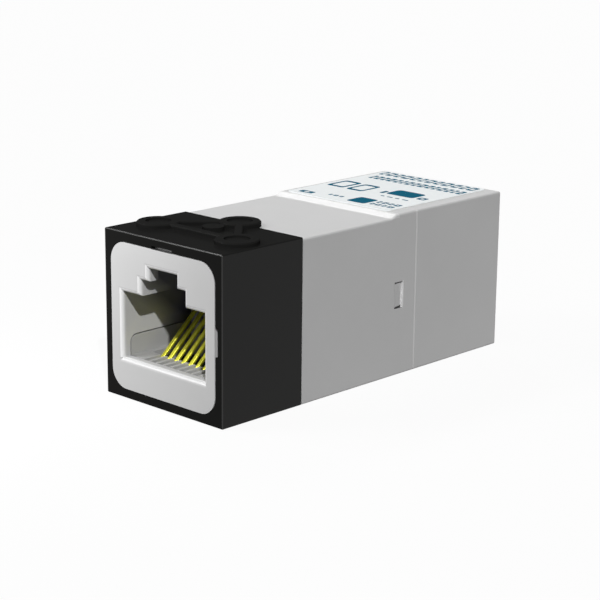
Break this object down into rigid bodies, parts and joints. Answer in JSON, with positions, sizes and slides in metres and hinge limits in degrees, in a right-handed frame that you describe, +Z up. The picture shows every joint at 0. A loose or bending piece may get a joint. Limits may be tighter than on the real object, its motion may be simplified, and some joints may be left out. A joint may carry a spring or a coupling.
{
  "type": "network isolator",
  "caption": "In-line network isolator: a small box with a modular network socket at each end, a black front cap, snap-joined shells and sprung contacts.",
  "frame": {"origin": "middle of the base, half way along the housing", "axes": "+Z up, +Y from the capped front socket to the rear socket, +X to the right seen from the front"},
  "size_m": [0.0168, 0.0422, 0.0175],
  "materials": {
    "black_plastic": "satin black",
    "pale_plastic": "smooth satin, pale grey",
    "label_paper": "coated label film",
    "insert_plastic": "matt grey",
    "gold_contact": "gold plated",
    "board_laminate": "green solder resist",
    "ferrite": "dark grey, dull",
    "copper_wire": "enamelled",
    "green_wire": "enamelled green",
    "capacitor_ceramic": "glazed tan"
  },
  "bodies": {
    "housing": {"front_cap": "black_plastic", "front_shell": "pale_plastic", "rear_shell": "pale_plastic", "label": "label_paper", "front_insert": "insert_plastic", "rear_insert": "insert_plastic", "circuit_board": "board_laminate", "transformer_core_1": "ferrite", "primary_winding_1": "copper_wire", "secondary_winding_1": "green_wire", "transformer_core_2": "ferrite", "primary_winding_2": "copper_wire", "secondary_winding_2": "green_wire", "transformer_core_3": "ferrite", "primary_winding_3": "copper_wire", "secondary_winding_3": "green_wire", "transformer_core_4": "ferrite", "primary_winding_4": "copper_wire", "secondary_winding_4": "green_wire", "isolation_capacitor_1": "capacitor_ceramic", "isolation_capacitor_2": "capacitor_ceramic"},
    "front_spring_1": {"front_contact_1": "gold_contact"},
    "front_spring_2": {"front_contact_2": "gold_contact"},
    "front_spring_3": {"front_contact_3": "gold_contact"},
    "front_spring_4": {"front_contact_4": "gold_contact"},
    "front_spring_5": {"front_contact_5": "gold_contact"},
    "front_spring_6": {"front_contact_6": "gold_contact"},
    "front_spring_7": {"front_contact_7": "gold_contact"},
    "front_spring_8": {"front_contact_8": "gold_contact"},
    "rear_spring_1": {"rear_contact_1": "gold_contact"},
    "rear_spring_2": {"rear_contact_2": "gold_contact"},
    "rear_spring_3": {"rear_contact_3": "gold_contact"},
    "rear_spring_4": {"rear_contact_4": "gold_contact"},
    "rear_spring_5": {"rear_contact_5": "gold_contact"},
    "rear_spring_6": {"rear_contact_6": "gold_contact"},
    "rear_spring_7": {"rear_contact_7": "gold_contact"},
    "rear_spring_8": {"rear_contact_8": "gold_contact"}
  },
  "joints": [
    {"name": "front_spring_1_flex", "type": "hinge", "parent": "housing", "child": "front_spring_1", "pos_m": [0, -0.01785, 0.0024], "axis": [1, 0, 0], "range_deg": [-18, 0], "stiffness_Nm_per_rad": 0.04},
    {"name": "front_spring_2_flex", "type": "hinge", "parent": "housing", "child": "front_spring_2", "pos_m": [0, -0.01785, 0.0024], "axis": [1, 0, 0], "range_deg": [-18, 0], "stiffness_Nm_per_rad": 0.04},
    {"name": "front_spring_3_flex", "type": "hinge", "parent": "housing", "child": "front_spring_3", "pos_m": [0, -0.01785, 0.0024], "axis": [1, 0, 0], "range_deg": [-18, 0], "stiffness_Nm_per_rad": 0.04},
    {"name": "front_spring_4_flex", "type": "hinge", "parent": "housing", "child": "front_spring_4", "pos_m": [0, -0.01785, 0.0024], "axis": [1, 0, 0], "range_deg": [-18, 0], "stiffness_Nm_per_rad": 0.04},
    {"name": "front_spring_5_flex", "type": "hinge", "parent": "housing", "child": "front_spring_5", "pos_m": [0, -0.01785, 0.0024], "axis": [1, 0, 0], "range_deg": [-18, 0], "stiffness_Nm_per_rad": 0.04},
    {"name": "front_spring_6_flex", "type": "hinge", "parent": "housing", "child": "front_spring_6", "pos_m": [0, -0.01785, 0.0024], "axis": [1, 0, 0], "range_deg": [-18, 0], "stiffness_Nm_per_rad": 0.04},
    {"name": "front_spring_7_flex", "type": "hinge", "parent": "housing", "child": "front_spring_7", "pos_m": [0, -0.01785, 0.0024], "axis": [1, 0, 0], "range_deg": [-18, 0], "stiffness_Nm_per_rad": 0.04},
    {"name": "front_spring_8_flex", "type": "hinge", "parent": "housing", "child": "front_spring_8", "pos_m": [0, -0.01785, 0.0024], "axis": [1, 0, 0], "range_deg": [-18, 0], "stiffness_Nm_per_rad": 0.04},
    {"name": "rear_spring_1_flex", "type": "hinge", "parent": "housing", "child": "rear_spring_1", "pos_m": [0, 0.01785, 0.0024], "axis": [1, 0, 0], "range_deg": [0, 18], "stiffness_Nm_per_rad": 0.04},
    {"name": "rear_spring_2_flex", "type": "hinge", "parent": "housing", "child": "rear_spring_2", "pos_m": [0, 0.01785, 0.0024], "axis": [1, 0, 0], "range_deg": [0, 18], "stiffness_Nm_per_rad": 0.04},
    {"name": "rear_spring_3_flex", "type": "hinge", "parent": "housing", "child": "rear_spring_3", "pos_m": [0, 0.01785, 0.0024], "axis": [1, 0, 0], "range_deg": [0, 18], "stiffness_Nm_per_rad": 0.04},
    {"name": "rear_spring_4_flex", "type": "hinge", "parent": "housing", "child": "rear_spring_4", "pos_m": [0, 0.01785, 0.0024], "axis": [1, 0, 0], "range_deg": [0, 18], "stiffness_Nm_per_rad": 0.04},
    {"name": "rear_spring_5_flex", "type": "hinge", "parent": "housing", "child": "rear_spring_5", "pos_m": [0, 0.01785, 0.0024], "axis": [1, 0, 0], "range_deg": [0, 18], "stiffness_Nm_per_rad": 0.04},
    {"name": "rear_spring_6_flex", "type": "hinge", "parent": "housing", "child": "rear_spring_6", "pos_m": [0, 0.01785, 0.0024], "axis": [1, 0, 0], "range_deg": [0, 18], "stiffness_Nm_per_rad": 0.04},
    {"name": "rear_spring_7_flex", "type": "hinge", "parent": "housing", "child": "rear_spring_7", "pos_m": [0, 0.01785, 0.0024], "axis": [1, 0, 0], "range_deg": [0, 18], "stiffness_Nm_per_rad": 0.04},
    {"name": "rear_spring_8_flex", "type": "hinge", "parent": "housing", "child": "rear_spring_8", "pos_m": [0, 0.01785, 0.0024], "axis": [1, 0, 0], "range_deg": [0, 18], "stiffness_Nm_per_rad": 0.04}
  ]
}
